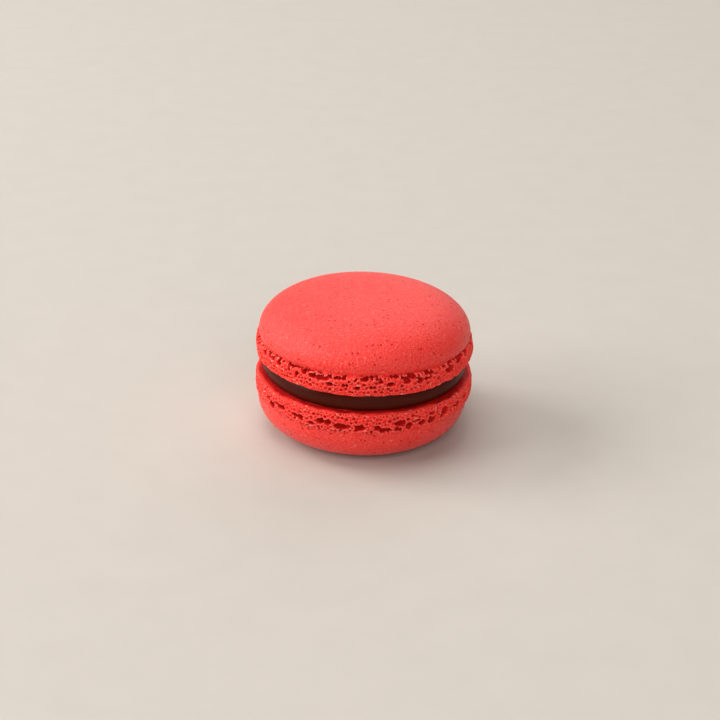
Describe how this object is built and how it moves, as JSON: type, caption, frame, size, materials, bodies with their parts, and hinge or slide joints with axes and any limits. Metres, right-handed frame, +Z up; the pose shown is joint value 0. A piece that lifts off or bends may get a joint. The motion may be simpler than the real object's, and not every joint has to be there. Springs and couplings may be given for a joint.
{
  "type": "french macaron",
  "caption": "Round filled biscuit: smooth domed almond shells with rough risen feet round a disc of dark ganache.",
  "frame": {"origin": "on the resting plane, under the middle of the biscuit's bounding box", "axes": "+Z up, away from the surface it stands on; -Y towards the picture's camera; the biscuit leans down a little towards +X"},
  "size_m": [0.046, 0.046, 0.0296],
  "materials": {
    "shell": "matte",
    "ganache": "satin"
  },
  "bodies": {
    "root": {"shell_bottom": "shell", "filling": "ganache", "shell_top": "shell"}
  },
  "joints": []
}
